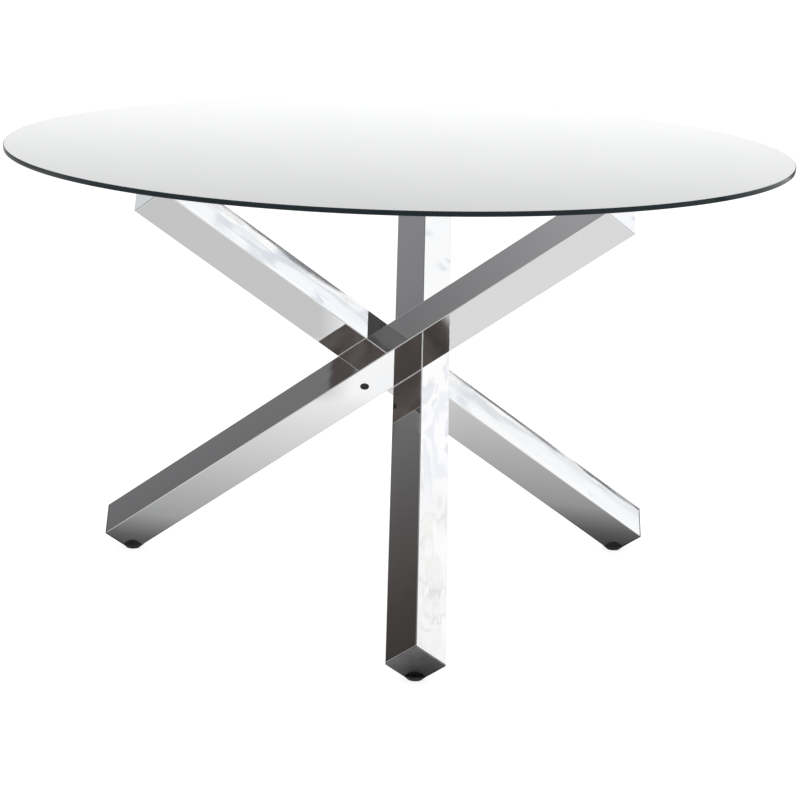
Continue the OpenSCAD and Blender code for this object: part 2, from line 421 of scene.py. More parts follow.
def thread_rows(r_max, r_min, pitch, z0, z1, steps=8, up=True):
    """Rows of a right-hand thread that fades out at both ends."""
    count = max(2, int(round(abs(z1 - z0) / pitch * steps)))
    rows = []
    for i in range(count + 1):
        z = z0 + (z1 - z0) * i / count
        fade = min(1.0, abs(z - z0) / (0.8 * pitch), abs(z1 - z) / (0.8 * pitch))

        def r(a, z=z, fade=fade):
            t = (z / pitch - a / (2 * math.pi)) % 1.0
            tri = 1 - abs(2 * t - 1)
            tri = min(1.0, max(0.0, (tri - 0.08) / 0.78))
            return r_max - (r_max - r_min) * (1 - tri) * fade
        rows.append((r, z))
    return rows


def rounded_loop(w, r, seg=8):
    """Outline of a rounded square as points, anticlockwise."""
    pts = []
    h = w / 2 - r
    for cx, cy, a0 in ((h, h, 0), (-h, h, 90), (-h, -h, 180), (h, -h, 270)):
        for i in range(seg + 1):
            a = math.radians(a0 + 90 * i / seg)
            pts.append((cx + r * math.cos(a), cy + r * math.sin(a)))
    return pts


def square_solid(name, rows, materials, seg=8, closed=False):
    """A solid of rounded-square sections. Each row is (width, corner radius, z)."""
    verts, faces = [], []
    n = 4 * (seg + 1)
    for w, r, z in rows:
        verts += [(x, y, z) for x, y in rounded_loop(w, r, seg)]
    pairs = [(i, i + 1) for i in range(len(rows) - 1)]
    if closed:
        pairs.append((len(rows) - 1, 0))
    for i, j in pairs:
        for k in range(n):
            k2 = (k + 1) % n
            faces.append((i * n + k, i * n + k2, j * n + k2, j * n + k))
    if not closed:
        faces.append(tuple(range(n))[::-1])
        faces.append(tuple((len(rows) - 1) * n + k for k in range(n)))
    return make_object(name, verts, faces, materials)


def cylinder_cutter(radius, z0, z1, matrix, seg=96):
    o = revolve("cutter", [(0, z0), (radius, z0), (radius, z1), (0, z1)], seg, [])
    o.matrix_world = matrix
    return o


def box_cutter(lo, hi, matrix):
    xs, ys, zs = zip(lo, hi)
    v = [(x, y, z) for z in zs for y in ys for x in xs]
    f = [(0, 2, 3, 1), (4, 5, 7, 6), (0, 1, 5, 4), (2, 6, 7, 3), (0, 4, 6, 2), (1, 3, 7, 5)]
    o = make_object("cutter", v, f, [])
    o.matrix_world = matrix
    return o


def cut(obj, cutters):
    """Takes the cutters' shapes out of the object for good."""
    bpy.context.view_layer.update()
    for c in cutters:
        m = obj.modifiers.new("cut", "BOOLEAN")
        m.operation = "DIFFERENCE"
        m.solver = "EXACT"
        m.object = c
    dg = bpy.context.evaluated_depsgraph_get()
    me = bpy.data.meshes.new_from_object(obj.evaluated_get(dg))
    obj.modifiers.clear()
    old = obj.data
    obj.data = me
    me.name = old.name + "_cut"
    bpy.data.meshes.remove(old)
    for c in cutters:
        bpy.data.objects.remove(c)
    bm = bmesh.new()
    bm.from_mesh(me)
    bmesh.ops.remove_doubles(bm, verts=bm.verts, dist=2e-7)
    bmesh.ops.dissolve_degenerate(bm, edges=bm.edges, dist=2e-7)
    bm.to_mesh(me)
    bm.free()
    return obj


def bevel(obj, width, segments=2, angle=40):
    m = obj.modifiers.new("edge", "BEVEL")
    m.width = width
    m.segments = segments
    m.limit_method = "ANGLE"
    m.angle_limit = math.radians(angle)
    m.harden_normals = False
    return obj


def smooth(obj, angle=32, weighted=True):
    for p in obj.data.polygons:
        p.use_smooth = True
    obj.data.set_sharp_from_angle(angle=math.radians(angle))
    if weighted:
        m = obj.modifiers.new("normals", "WEIGHTED_NORMAL")
        m.keep_sharp = True
        m.weight = 100
        m.mode = "FACE_AREA"
    return obj


def place(obj, matrix, body, slot, *nodes):
    obj.matrix_world = matrix
    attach(obj, body)
    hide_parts(*nodes)
    return obj


# ------------------------------------------------------------------ camera
AZ, YAW, PITCH, ROLL = 0.0, math.radians(0.169), math.radians(12.799), math.radians(1.731)
fwd, right, up = Vector((0, 1, 0)), Vector((1, 0, 0)), Vector((0, 0, 1))
f2 = fwd * math.cos(YAW) + right * math.sin(YAW)
r2 = right * math.cos(YAW) - fwd * math.sin(YAW)
f3 = f2 * math.cos(PITCH) - up * math.sin(PITCH)
u3 = up * math.cos(PITCH) + f2 * math.sin(PITCH)
r4 = r2 * math.cos(ROLL) + u3 * math.sin(ROLL)
u4 = u3 * math.cos(ROLL) - r2 * math.sin(ROLL)
cam_data = bpy.data.cameras.new("camera")
cam_data.sensor_width = 36.0
cam_data.lens = 36.0 * 2960.87 / 800.0
cam_data.clip_start, cam_data.clip_end = 0.1, 200.0
camera = bpy.data.objects.new("camera", cam_data)
bpy.context.scene.collection.objects.link(camera)
camera.matrix_world = Matrix((
    (r4.x, u4.x, -f3.x, -0.0017),
    (r4.y, u4.y, -f3.y, -4.8228),
    (r4.z, u4.z, -f3.z, 1.42197),
    (0, 0, 0, 1)))
bpy.context.scene.camera = camera

# ------------------------------------------------------------------ glass top
def build_glass():
    r, t, a = TOP_R, GLASS_T, ARRIS
    soft = 0.00025
    rows = [(0, 0), (0.20, 0), (0.45, 0), (0.62, 0), (r - a - 0.0004, 0), (r - a, 0.00008),
            (r - a * 0.12, a - a * 0.12), (r, a + soft * 0.6),
            (r, t / 2),
            (r, t - a - soft * 0.6), (r - a * 0.12, t - a + a * 0.12), (r - a, t - 0.00008),
            (r - a - 0.0004, t), (0.62, t), (0.45, t), (0.20, t), (0, t)]
    face_mat = [1, 1, 1, 1, 2, 2, 2, 2, 2, 2, 2, 2, 0, 0, 0, 0]
    o = revolve("table_glass", rows, 288, [GLASS_FACE, GLASS_BACK, GLASS_EDGE], face_mat=face_mat)
    smooth(o, 30)
    # the tubes mirror the studio behind the table, not the underside of its top
    o.visible_glossy = False
    return place(o, Matrix.Translation((0, 0, TABLE_H - GLASS_T)), "root", "table_glass", "glass_top")


build_glass()


# ------------------------------------------------------------------ tubes, caps, feet
def low_cutter(name):
    """The level cut across a leg's lowest corner."""
    return box_cutter((-0.15, -0.15, LOW_LAND - 0.12), (0.15, 0.15, LOW_LAND), foot_frame(name))


def high_cutter(name):
    """The level cut across a leg's uppermost corner."""
    return box_cutter((-0.15, -0.15, TOP_LAND), (0.15, 0.15, TOP_LAND + 0.12), head_frame(name))


def build_leg(name):
    z0, z1 = -LEG_LOW + FLANGE, LEG_HIGH - FLANGE
    c = 0.0003
    ri = max(TUBE_R - WALL, 0.0005)
    rows = [(TUBE_W - 2 * c, TUBE_R - c, z0), (TUBE_W, TUBE_R, z0 + c)]
    steps = 12
    rows += [(TUBE_W, TUBE_R, z0 + c + (z1 - z0 - 2 * c) * i / steps) for i in range(1, steps)]
    rows += [(TUBE_W, TUBE_R, z1 - c), (TUBE_W - 2 * c, TUBE_R - c, z1),
             (INNER, ri, z1), (INNER, ri, z0)]
    o = square_solid("tube_" + name, rows, [CHROME], closed=True)
    m = leg_frame(name)
    o.matrix_world = m
    xm = Matrix.Rotation(math.radians(90), 4, "Y")
    ym = Matrix.Rotation(math.radians(90), 4, "X")
    cut(o, [low_cutter(name), high_cutter(name),
        cylinder_cutter(0.0045, -0.001, WALL + 0.001, m @ Matrix.Translation((-HALF, 0, -HALF)) @ xm),
        cylinder_cutter(ACCESS_R, -0.001, WALL + 0.001, m @ Matrix.Translation((HALF - WALL, 0, -HALF)) @ xm),
        cylinder_cutter(0.0055, -0.001, WALL + 0.001, m @ Matrix.Translation((0, HALF, HALF)) @ ym)])
    smooth(o, 28)
    return place(o, m, "root", "polished_chrome", "leg_" + name)


def plug_rows(sign, length):
    """Core and three sealing ribs of a plug, from the flange inwards."""
    core = INNER - 2 * PLUG_GAP
    rib = INNER - 0.0001
    rows = []
    z = 0.0
    rows.append((core, 0.001, z))
    for i in range(3):
        s = 0.004 + i * (length - 0.009) / 2
        rows += [(core, 0.001, sign * s), (rib - 0.0003, 0.0009, sign * (s + 0.0001)), (rib, 0.0008, sign * (s + 0.0005)),
                 (rib, 0.0008, sign * (s + 0.0011)), (rib - 0.0004, 0.0009, sign * (s + 0.0016)), (core, 0.001, sign * (s + 0.0017))]
    rows += [(core, 0.001, sign * (length - 0.001)), (core - 0.002, 0.0008, sign * length)]
    return rows


def build_foot_cap(name):
    c = 0.0005
    rows = [(TUBE_W - 2 * c, TUBE_R - c, 0), (TUBE_W - 0.6 * c, TUBE_R - 0.3 * c, 0.3 * c), (TUBE_W, TUBE_R, c),
            (TUBE_W, TUBE_R, FLANGE - 0.0003), (TUBE_W - 0.0006, TUBE_R - 0.0003, FLANGE)]
    rows += [(w, r, FLANGE + z) for w, r, z in plug_rows(1, PLUG_LEN)]
    o = square_solid("shoe_" + name, rows, [DARK_CAP])
    m = leg_frame(name) @ Matrix.Translation((0, 0, -LEG_LOW))
    o.matrix_world = m
    pocket = INNER / 2 - 0.004
    f = foot_frame(name)
    cut(o, [low_cutter(name),
            box_cutter((-pocket, -pocket, FLANGE + 0.003), (0.001, pocket, FLANGE + 0.05), m),
            box_cutter((-pocket, -pocket, FLANGE + 0.003), (pocket, 0.001, FLANGE + 0.05), m),
            cylinder_cutter(0.0087, LOW_LAND - 0.001, LOW_LAND + 0.0043, f),
            cylinder_cutter(0.00555, LOW_LAND, LOW_LAND + 0.0185, f),
            cylinder_cutter(0.0045, LOW_LAND, LOW_LAND + 0.030, f)])
    smooth(o, 28)
    return place(o, m, "root", "dark_metallised", "foot_cap_" + name)


def build_top_cap(name):
    c = 0.0005
    rows = [(TUBE_W - 2 * c, TUBE_R - c, 0), (TUBE_W - 0.6 * c, TUBE_R - 0.3 * c, -0.3 * c), (TUBE_W, TUBE_R, -c),
            (TUBE_W, TUBE_R, -FLANGE + 0.0003), (TUBE_W - 0.0006, TUBE_R - 0.0003, -FLANGE)]
    rows += [(w, r, -FLANGE + z) for w, r, z in plug_rows(-1, PLUG_LEN)]
    o = square_solid("end_plug_" + name, rows, [CHROME_CAP])
    m = leg_frame(name) @ Matrix.Translation((0, 0, LEG_HIGH))
    o.matrix_world = m
    pocket = INNER / 2 - 0.004
    h = head_frame(name)
    cut(o, [high_cutter(name),
            box_cutter((-0.001, -pocket, -FLANGE - 0.05), (pocket, pocket, -FLANGE - 0.003), m),
            box_cutter((-pocket, -0.001, -FLANGE - 0.05), (pocket, pocket, -FLANGE - 0.003), m),
            cylinder_cutter(0.00405, TOP_LAND - 0.020, TOP_LAND + 0.01, h)])
    smooth(o, 28)
    return place(o, m, "root", "polished_chrome", "top_cap_" + name)


def build_glide_pad(name):
    rows = [(0, 0), (0.0101, 0)] + arc(0.0105, 0.0010, 0.0010, -90, -20, 4)
    rows += [(0.0185, 0.0064)] + arc(0.0182, 0.0072, 0.0008, -25, 90, 6)
    rows += [(0.0060, 0.0080), (0.0046, 0.0080), (0.0044, 0.0078), (0.0044, 0.0066), (0.0046, 0.0065),
             (0.0056, 0.0065), (0.0056, 0.0030), (0, 0.0030)]
    o = revolve("glide_foot_" + name, rows, 72, [NYLON])
    smooth(o, 30)
    return place(o, foot_frame(name), "glide_" + name, "black_nylon", "glide_pad_" + name)


def build_glide_stud(name):
    z0 = LOW_LAND + 0.0003
    h = hexagon(0.0065)
    rows = [(0, 0.0033), (0.0048, 0.0033), (0.0052, 0.0037), (0.0052, 0.0058), (0.0048, 0.0062), (0.0038, 0.0062),
            (0.0038, z0), (0.0060, z0), (lambda a: min(h(a), 0.0066), z0), (h, z0 + 0.0005), (h, z0 + 0.0032),
            (lambda a: min(h(a), 0.0066), z0 + 0.0037), (0.0043, z0 + 0.0037), (0.0040, z0 + 0.0040)]
    rows += thread_rows(0.0040, 0.00337, 0.00125, z0 + 0.0044, 0.0310)
    rows += [(0.0036, 0.0314), (0.0030, 0.0320), (0, 0.0320)]
    o = revolve("levelling_stud_" + name, rows, 48, [ZINC])
    smooth(o, 30, weighted=False)
    return place(o, foot_frame(name), "stud_" + name, "zinc_plate", "glide_stud_" + name)


def build_insert(name):
    z0 = LOW_LAND + 0.0043
    length = 0.014

    def knurl(sign):
        return lambda a: 0.0055 - 0.00018 * (1 + math.cos(24 * a + sign)) / 2
    rows = [(0.0041, z0), (0.0050, z0), (0.0054, z0 + 0.0004)]
    for band in (0.0006, 0.0054, 0.0104):
        rows += [(knurl(0), z0 + band), (knurl(2.0), z0 + band + 0.0014), (knurl(0), z0 + band + 0.0028)]
        if band < 0.01:
            rows += [(0.0050, z0 + band + 0.0031), (0.0050, z0 + band + 0.0045)]
    rows += [(0.0054, z0 + length - 0.0004), (0.0050, z0 + length), (0.0041, z0 + length)]
    o = revolve("brass_insert_" + name, rows, 96, [BRASS], closed=True)
    smooth(o, 40, weighted=False)
    return place(o, foot_frame(name), "root", "brass", "foot_insert_" + name)


def build_support(name):
    z = TOP_LAND
    t = z + SUPPORT_H
    u = t - DISC_T
    rows = [(0, z - 0.018), (0.0030, z - 0.018), (0.0038, z - 0.0172)]
    rows += thread_rows(0.0040, 0.00337, 0.00125, z - 0.0170, z - 0.0015)
    rows += [(0.0036, z - 0.0012), (0.0036, z), (0.0092, z), (0.0096, z + 0.0004)]
    rows += [(0.0096, u - 0.0026)] + arc(0.0122, u - 0.0026, 0.0026, 180, 90, 5)[1:]
    rows += [(DISC_R - 0.0012, u)] + arc(DISC_R - 0.0012, u + 0.0012, 0.0012, -90, 0, 5)[1:]
    rows += arc(DISC_R - 0.0012, t - 0.0012, 0.0012, 0, 90, 5) + [(0, t)]
    o = revolve("glass_disc_" + name, rows, 72, [CHROME_CAP])
    smooth(o, 30, weighted=False)
    return place(o, head_frame(name), "root", "polished_chrome", "glass_support_" + name)


def build_glass_pad(name):
    z = TOP_LAND + SUPPORT_H
    r = DISC_R - 0.003
    rows = [(0, z), (r - 0.0006, z)] + arc(r - 0.0006, z + 0.0006, 0.0006, -90, 0, 4)[1:]
    rows += arc(r - 0.0006, z + PAD_T - 0.0006, 0.0006, 0, 90, 4) + [(0, z + PAD_T)]
    o = revolve("soft_disc_" + name, rows, 64, [SILICONE])
    smooth(o, 30, weighted=False)
    return place(o, head_frame(name), "root", "clear_silicone", "glass_pad_" + name)


# ------------------------------------------------------------------ bolted joints
def build_bolt(name):
    z = -WALL - 0.0016          # under the head
    top = z - 0.008

    def knurl(a):
        return 0.0065 - 0.00012 * (1 + math.cos(36 * a)) / 2
    socket = hexagon(0.0030)
    rows = [(0, top + 0.0040), (lambda a: socket(a) * 0.98, top + 0.0040), (socket, top + 0.0003),
            (lambda a: socket(a) + 0.0003, top), (0.0056, top), (0.0062, top + 0.0002), (knurl, top + 0.0008),
            (knurl, z - 0.0006), (0.0062, z), (0.0044, z), (0.0040, z + 0.0004), (0.0040, z + 0.0030)]
    rows += thread_rows(0.0040, 0.00337, 0.00125, z + 0.0034, z + 0.0190)
    rows += [(0.0036, z + 0.0193), (0.0030, z + 0.0200), (0, z + 0.0200)]
    o = revolve("cap_screw_" + name, rows, 72, [ZINC])
    smooth(o, 30, weighted=False)
    return place(o, bolt_frame(name), "root", "zinc_plate", "joint_bolt_" + name)


def build_washer(name):
    a, b = -WALL - 0.0016, -WALL
    rows = [(0.0042, a + 0.0002), (0.0044, a), (0.0082, a), (0.0085, a + 0.0003), (0.0085, b - 0.0001),
            (0.0084, b), (0.0043, b), (0.0042, b - 0.0001)]
    o = revolve("flat_washer_" + name, rows, 72, [ZINC], closed=True)
    smooth(o, 30, weighted=False)
    return place(o, bolt_frame(name), "root", "zinc_plate", "joint_washer_" + name)


def build_nut(name):
    def grip(a):
        return 0.00545 - 0.00010 * (1 + math.cos(30 * a)) / 2
    rows = [(0.0041, 0.0003), (0.0043, 0), (0.0052, 0), (0.00545, 0.0002), (0.00545, 0.0019), (0.0071, 0.0020),
            (0.0075, 0.0026), (0.0075, 0.0050), (0.0068, 0.0058), (0.0056, 0.0060), (grip, 0.0064), (grip, 0.0160),
            (0.0050, 0.0170), (0.0044, 0.0170), (0.0041, 0.0167)]
    o = revolve("blind_nut_" + name, rows, 60, [ZINC], closed=True)
    smooth(o, 30, weighted=False)
    return place(o, nut_frame(name), "root", "zinc_plate", "rivet_nut_" + name)


def build_plug(name):
    r = ACCESS_R
    f = r + 0.0006
    rows = [(0, 0.0008), (f - 0.0016, 0.00078)] + arc(f - 0.0006, 0.0002, 0.0006, 80, 0, 5)
    rows += [(f, 0.0), (r - 0.0001, 0.0), (r - 0.0001, -0.0030), (r + 0.0001 - 0.0001, -0.0034), (r - 0.0006, -0.0050),
             (r - 0.0015, -0.0050), (r - 0.0015, -0.0006), (0, -0.0006)]
    o = revolve("hole_cap_" + name, rows, 60, [BLACK_PLUG])
    smooth(o, 35, weighted=False)
    return place(o, hole_frame(name), "root", "black_plastic", "hole_plug_" + name)


for leg_name in ("front", "right", "left"):
    build_leg(leg_name)
    build_foot_cap(leg_name)
    build_top_cap(leg_name)
    build_glide_pad(leg_name)
    build_glide_stud(leg_name)
    build_insert(leg_name)
    build_support(leg_name)
    build_glass_pad(leg_name)
    build_bolt(leg_name)
    build_washer(leg_name)
    build_nut(leg_name)
    build_plug(leg_name)


# ------------------------------------------------------------------ studio
def stage_plane(name, corners, material, camera_ray=True, diffuse=True, glossy=True, shadow=True, transmission=True):
    me = bpy.data.meshes.new(name)
    me.from_pydata(corners, [], [(0, 1, 2, 3)])
    me.materials.append(material)
    o = bpy.data.objects.new(name, me)
    bpy.context.scene.collection.objects.link(o)
    o.visible_camera, o.visible_diffuse, o.visible_glossy = camera_ray, diffuse, glossy
    o.visible_shadow, o.visible_transmission = shadow, transmission
    o.visible_volume_scatter = False
    return o


def one_sided(n, shader_socket):
    """The shader on the front of a stage plane, and nothing at all on its back."""
    geo = n.add("ShaderNodeNewGeometry")
    clear = n.add("ShaderNodeBsdfTransparent")
    mix = n.add("ShaderNodeMixShader")
    n.link(geo.outputs["Backfacing"], mix.inputs[0])
    n.link(shader_socket, mix.inputs[1])
    n.link(clear.outputs[0], mix.inputs[2])
    n.link(mix.outputs[0], n.out.inputs["Surface"])


def floor_material():
    n = Nodes("stage_floor")
    glow = n.add("ShaderNodeEmission", {"Color": (1, 1, 1, 1), "Strength": 0.80})
    dif = n.add("ShaderNodeBsdfDiffuse", {"Color": (0.36, 0.36, 0.36, 1)})
    both = n.add("ShaderNodeAddShader")
    n.link(glow.outputs[0], both.inputs[0])
    n.link(dif.outputs[0], both.inputs[1])
    one_sided(n, both.outputs[0])
    return n.mat


def world():
    """White to the eye and as light; mirror faces alone see painted reflections of a soft studio, with darker sides and
    ceiling painted into the world's colour for glossy rays.
    """
    w = bpy.data.worlds.new("studio")
    bpy.context.scene.world = w
    w.use_nodes = True
    nt = w.node_tree
    nt.nodes.clear()
    out = nt.nodes.new("ShaderNodeOutputWorld")
    bg = nt.nodes.new("ShaderNodeBackground")
    bg.inputs["Strength"].default_value = 1.0
    tc = nt.nodes.new("ShaderNodeTexCoord")
    reflection_patches = nt.nodes.new("ShaderNodeTexNoise")
    reflection_patches.inputs["Scale"].default_value = 1.25
    reflection_patches.inputs["Detail"].default_value = 1.0
    nt.links.new(tc.outputs["Generated"], reflection_patches.inputs["Vector"])
    shade = nt.nodes.new("ShaderNodeMapRange")
    shade.interpolation_type = "SMOOTHSTEP"
    for k, v in (("From Min", 0.40), ("From Max", 0.60), ("To Min", 0.30), ("To Max", 0.98)):
        shade.inputs[k].default_value = v
    nt.links.new(reflection_patches.outputs["Fac"], shade.inputs["Value"])
    sep = nt.nodes.new("ShaderNodeSeparateXYZ")
    nt.links.new(tc.outputs["Generated"], sep.inputs["Vector"])
    rise = nt.nodes.new("ShaderNodeMapRange")
    for k, v in (("From Min", 0.05), ("From Max", 0.90), ("To Min", 1.0), ("To Max", 0.62)):
        rise.inputs[k].default_value = v
    nt.links.new(sep.outputs["Z"], rise.inputs["Value"])
    studio = nt.nodes.new("ShaderNodeMath")
    studio.operation = "MULTIPLY"
    nt.links.new(shade.outputs["Result"], studio.inputs[0])
    nt.links.new(rise.outputs["Result"], studio.inputs[1])
    path = nt.nodes.new("ShaderNodeLightPath")
    mix = nt.nodes.new("ShaderNodeMix")
    mix.data_type = "RGBA"
    nt.links.new(path.outputs["Is Glossy Ray"], mix.inputs[0])
    mix.inputs[6].default_value = (1, 1, 1, 1)
    nt.links.new(studio.outputs[0], mix.inputs[7])
    nt.links.new(mix.outputs[2], bg.inputs["Color"])
    nt.links.new(bg.outputs[0], out.inputs["Surface"])


world()
S = 60.0
stage_plane("floor", [(-S, -S, 0), (S, -S, 0), (S, S, 0), (-S, S, 0)], floor_material(), glossy=False)


def distance_to(n, position, x, y):
    """Distance on the floor from a point of the plane to (x, y)."""
    d = n.add("ShaderNodeVectorMath", {1: (x, y, 0)}, operation="DISTANCE")
    n.link(position, d.inputs[0])
    return d.outputs["Value"]


def smooth_step(n, value, lo, hi):
    return n.map(value, lo, hi, 0.0, 1.0, kind="SMOOTHSTEP")


def box_mask(n, u, v, u0, u1, v0, v1, soft):
    """1 inside a box of the plane, 0 outside, with a soft edge."""
    parts = (smooth_step(n, u, u0 - soft, u0), smooth_step(n, u, u1 + soft, u1),
             smooth_step(n, v, v0 - soft, v0), smooth_step(n, v, v1 + soft, v1))
    m = parts[0]
    for p in parts[1:]:
        m = n.math("MULTIPLY", m, p)
    return m


def grey_stops(pairs, lo, hi, tint=(1, 1, 1)):
    return [((p - lo) / (hi - lo), tuple(v * t for t in tint)) for p, v in pairs]


def fading(n, emission, u, v, u0, u1, v0, v1, soft):
    """Lets a card fade away towards its borders."""
    clear = n.add("ShaderNodeBsdfTransparent")
    mix = n.add("ShaderNodeMixShader")
    n.link(box_mask(n, u, v, u0, u1, v0, v1, soft), mix.inputs[0])
    n.link(clear.outputs[0], mix.inputs[1])
    n.link(emission, mix.inputs[2])
    n.link(mix.outputs[0], n.out.inputs["Surface"])


def floor_glow_material():
    """What the polished faces see below them, painted into a glow that only mirror faces see: a pale floor with painted
    shade round each foot and under the legs, and painted dark reflections in two places at the front.
    """
    n = Nodes("stage_floor_glow")
    tc = n.add("ShaderNodeTexCoord")
    pos = tc.outputs["Object"]
    sep = n.add("ShaderNodeSeparateXYZ")
    n.link(pos, sep.inputs["Vector"])
    x, y = sep.outputs["X"], sep.outputs["Y"]
    # painted shade behind the crossing: falls off towards the two rear feet
    right_side = smooth_step(n, x, 0.0, 0.15)
    v = n.math("ADD", n.math("SUBTRACT", y, n.math("MULTIPLY", x, 0.0952)), n.math("MULTIPLY", right_side, 0.008))
    lo, hi = -0.12, 0.60
    rear = n.ramp(n.map(v, lo, hi, 0.0, 1.0), grey_stops([
        (-0.105, 1.0), (-0.062, 0.87), (-0.005, 0.735), (0.055, 0.617), (0.106, 0.505), (0.157, 0.408), (0.180, 0.355),
        (0.200, 0.23), (0.220, 0.125), (0.240, 0.068), (0.270, 0.058), (0.320, 0.10), (0.450, 0.60), (0.600, 0.82)], lo, hi))
    rear = n.mix(n.math("MULTIPLY", right_side, 0.13), rear, (0.0, 0.0, 0.0))
    # before it: painted shade, an even grey under each rising leg
    lo, hi = -0.60, 0.60
    front = n.ramp(n.map(x, lo, hi, 0.0, 1.0), grey_stops([
        (-0.60, 0.80), (-0.50, 0.585), (-0.135, 0.585), (-0.10, 0.78), (-0.07, 0.97), (0.02, 0.97), (0.065, 0.735),
        (0.50, 0.735), (0.60, 0.85)], lo, hi))
    base = n.mix(smooth_step(n, y, -0.090, -0.060), front, rear)
    # painted contact shade round the front foot
    d = distance_to(n, pos, 0.062, -0.473)
    lo, hi = 0.0, 0.20
    foot_painted_shade = n.ramp(n.map(d, lo, hi, 0.0, 1.0), grey_stops([
        (0.0, 0.03), (0.018, 0.05), (0.046, 0.17), (0.060, 0.30), (0.080, 0.52), (0.120, 0.80), (0.20, 1.0)], lo, hi))
    low = n.add("ShaderNodeVectorMath", operation="MINIMUM")
    n.link(base, low.inputs[0])
    n.link(foot_painted_shade, low.inputs[1])
    # painted dark reflections: two mottled dark places at the front, seen only by way of two mirror faces
    painted_reflection_mottle = n.noise(n.coords(), 7.0, detail=4.0, rough=0.6, distortion=0.5)
    dark = n.ramp(painted_reflection_mottle, [(0.30, (0.050, 0.048, 0.047)), (0.50, (0.088, 0.074, 0.068)), (0.72, (0.125, 0.116, 0.108))])
    mask = n.math("MAXIMUM", box_mask(n, x, y, -1.30, -0.52, -0.95, -0.46, 0.07),
                  box_mask(n, x, y, 0.60, 1.20, -0.95, -0.46, 0.07))
    tone = n.mix(mask, low.outputs[0], dark)
    e = n.add("ShaderNodeEmission", {"Strength": 1.05})
    n.link(tone, e.inputs["Color"])
    one_sided(n, e.outputs[0])
    return n.mat


# a sheet that only mirror faces see, carrying the painted floor shade and the painted dark reflections
stage_plane("floor_glow", [(-S, -S, 0.0002), (S, -S, 0.0002), (S, S, 0.0002), (-S, S, 0.0002)], floor_glow_material(),
            camera_ray=False, diffuse=False, shadow=False, transmission=False)


def dark_card_material():
    """A dark card at the back left, seen only in mirror faces, whose glow paints the dark reflections in the tubes:
    darkest far left, paler towards the middle and the top.
    """
    n = Nodes("stage_dark_card")
    tc = n.add("ShaderNodeTexCoord")
    sep = n.add("ShaderNodeSeparateXYZ")
    n.link(tc.outputs["Object"], sep.inputs["Vector"])
    x, z = sep.outputs["X"], sep.outputs["Z"]
    lo, hi = -3.30, -1.30
    across = n.ramp(n.map(x, lo, hi, 0.0, 1.0), [
        ((p - lo) / (hi - lo), c) for p, c in (
            (-3.30, (0.050, 0.044, 0.041)), (-3.05, (0.065, 0.058, 0.055)), (-2.86, (0.082, 0.076, 0.074)),
            (-2.68, (0.099, 0.094, 0.093)), (-2.50, (0.126, 0.122, 0.122)), (-2.33, (0.152, 0.149, 0.151)),
            (-2.20, (0.170, 0.168, 0.172)), (-2.00, (0.190, 0.189, 0.194)), (-1.75, (0.230, 0.230, 0.237)),
            (-1.30, (0.268, 0.268, 0.277)))])
    higher = n.map(z, 1.62, 2.15, 0.0, 0.14)
    add = n.add("ShaderNodeVectorMath", operation="ADD")
    n.link(across, add.inputs[0])
    n.link(higher, add.inputs[1])
    # a painted highlight: a pale patch that one tube end looks into
    painted_highlight_patch = box_mask(n, x, z, -2.34, -2.145, 1.568, 1.70, 0.010)
    tone = n.mix(painted_highlight_patch, add.outputs[0], (0.70, 0.73, 0.73))
    # a painted shadow: a darker brownish band that one tube's upper face mirrors beside the crossing
    painted_shadow_band = box_mask(n, x, z, -2.30, -1.90, 1.385, 1.445, 0.022)
    tone = n.mix(n.math("MULTIPLY", painted_shadow_band, 0.85), tone, (0.062, 0.048, 0.046))
    e = n.add("ShaderNodeEmission", {"Strength": 1.0})
    n.link(tone, e.inputs["Color"])
    fading(n, e.outputs[0], x, z, -3.45, -1.40, 0.62, 2.35, 0.50)
    return n.mat


stage_plane("dark_card", [(-4.2, 1.5, 0.02), (-0.95, 1.5, 0.02), (-0.95, 1.5, 3.2), (-4.2, 1.5, 3.2)], dark_card_material(),
            camera_ray=False, diffuse=False, shadow=False, transmission=False)


